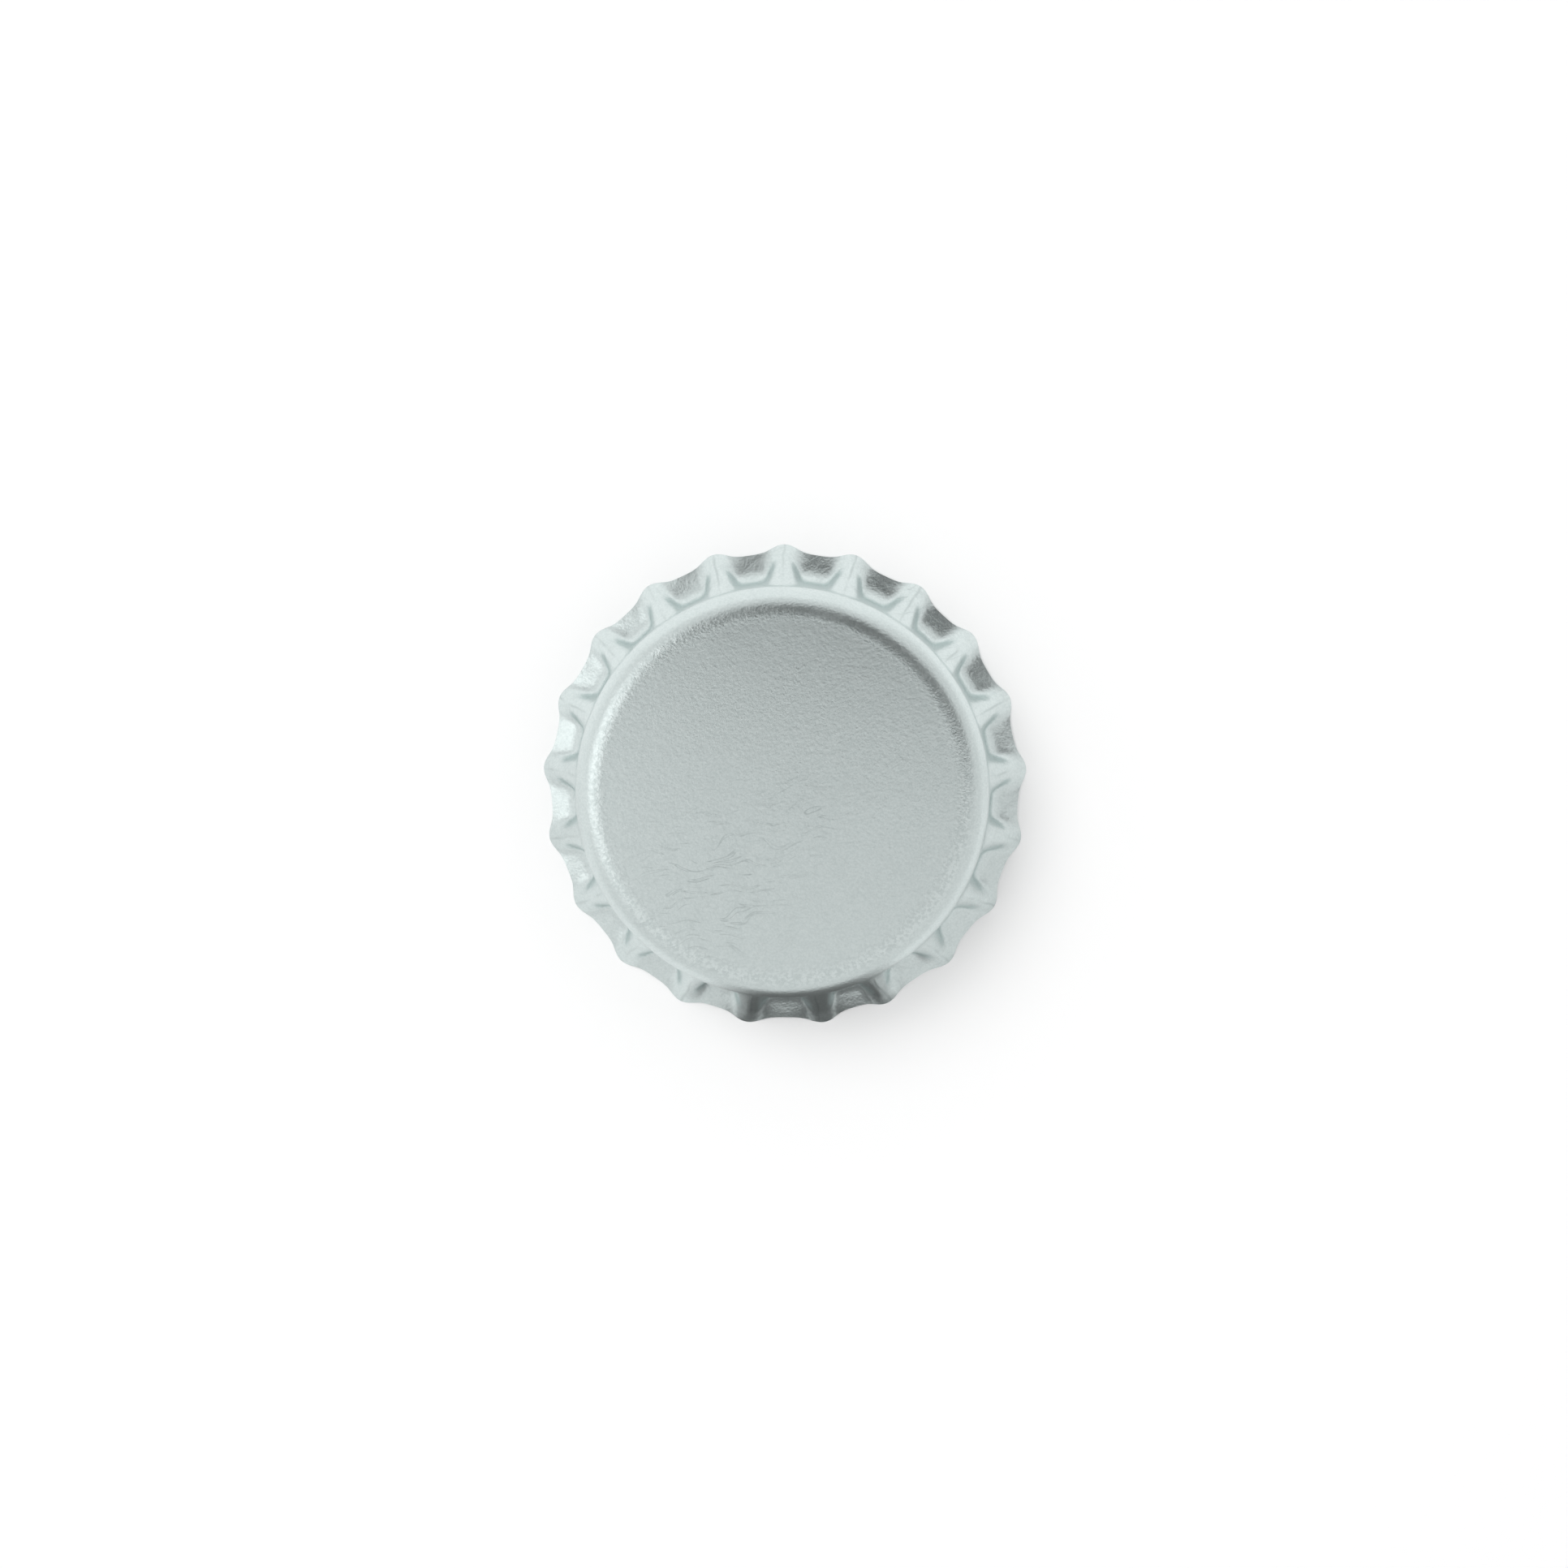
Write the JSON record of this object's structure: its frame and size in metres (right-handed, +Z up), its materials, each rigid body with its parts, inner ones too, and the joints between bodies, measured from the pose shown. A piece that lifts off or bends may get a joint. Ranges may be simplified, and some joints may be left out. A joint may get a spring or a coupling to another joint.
{
  "type": "bottle cap",
  "caption": "Round pry-off bottle cap in silver sheet metal: slightly domed panel, rounded shoulder, flared fluted skirt with a toothed rim, and a sealing liner inside.",
  "frame": {"origin": "centre of the plane that the tooth tips stand on, on the cap's axis", "axes": "+Z up along the cap's axis through the panel, +X through the crest of one tooth"},
  "size_m": [0.0319, 0.032, 0.006],
  "materials": {
    "shell": "satin silver lacquer on pressed tinplate",
    "liner": "soft moulded sealing compound"
  },
  "bodies": {
    "root": {"shell": "shell", "liner": "liner"}
  },
  "joints": []
}
